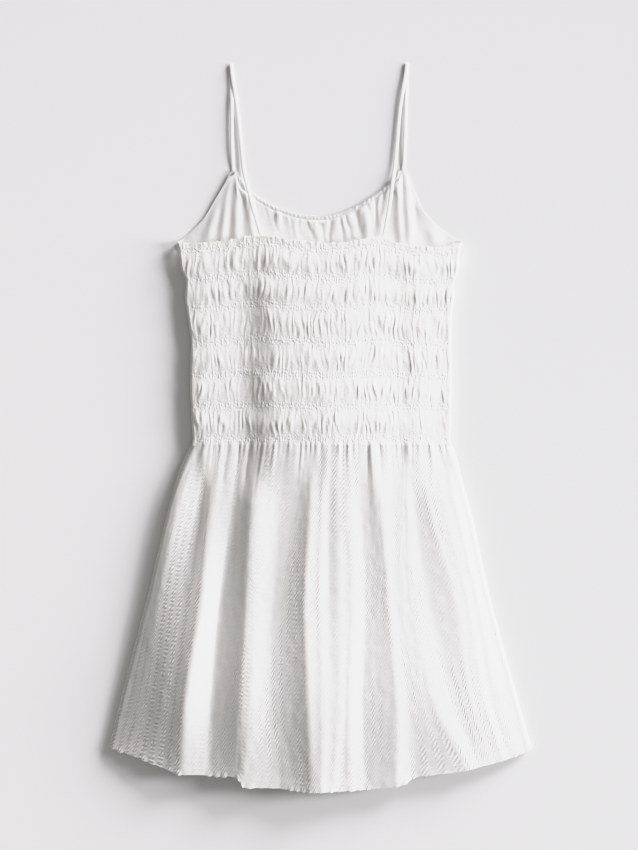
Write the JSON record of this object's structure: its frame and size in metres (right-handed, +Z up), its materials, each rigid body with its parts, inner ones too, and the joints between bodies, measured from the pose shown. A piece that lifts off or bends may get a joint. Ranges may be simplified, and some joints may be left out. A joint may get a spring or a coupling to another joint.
{
  "type": "seersucker dress",
  "caption": "Sleeveless seersucker slip dress with thin straps, a shirred back bodice and a flared gathered skirt, laid flat with its back facing up.",
  "frame": {"origin": "middle of the laid dress's outline, on the surface that it lies on", "axes": "+Z up from the surface, out of the dress's back; +Y towards the strap ends; +X towards the wearer's right side"},
  "size_m": [0.507, 0.8742, 0.0261],
  "materials": {
    "seersucker": "matt puckered cotton in self stripes",
    "cloth_inside": "matt cotton, wrong side",
    "rouleau": "matt cotton, turned bias tube"
  },
  "bodies": {
    "root": {"front_bodice": "cloth_inside", "front_skirt": "seersucker", "neckline_casing": "cloth_inside", "back_bodice": "seersucker", "back_skirt": "seersucker", "strap_left": "rouleau", "strap_right": "rouleau"}
  },
  "joints": []
}
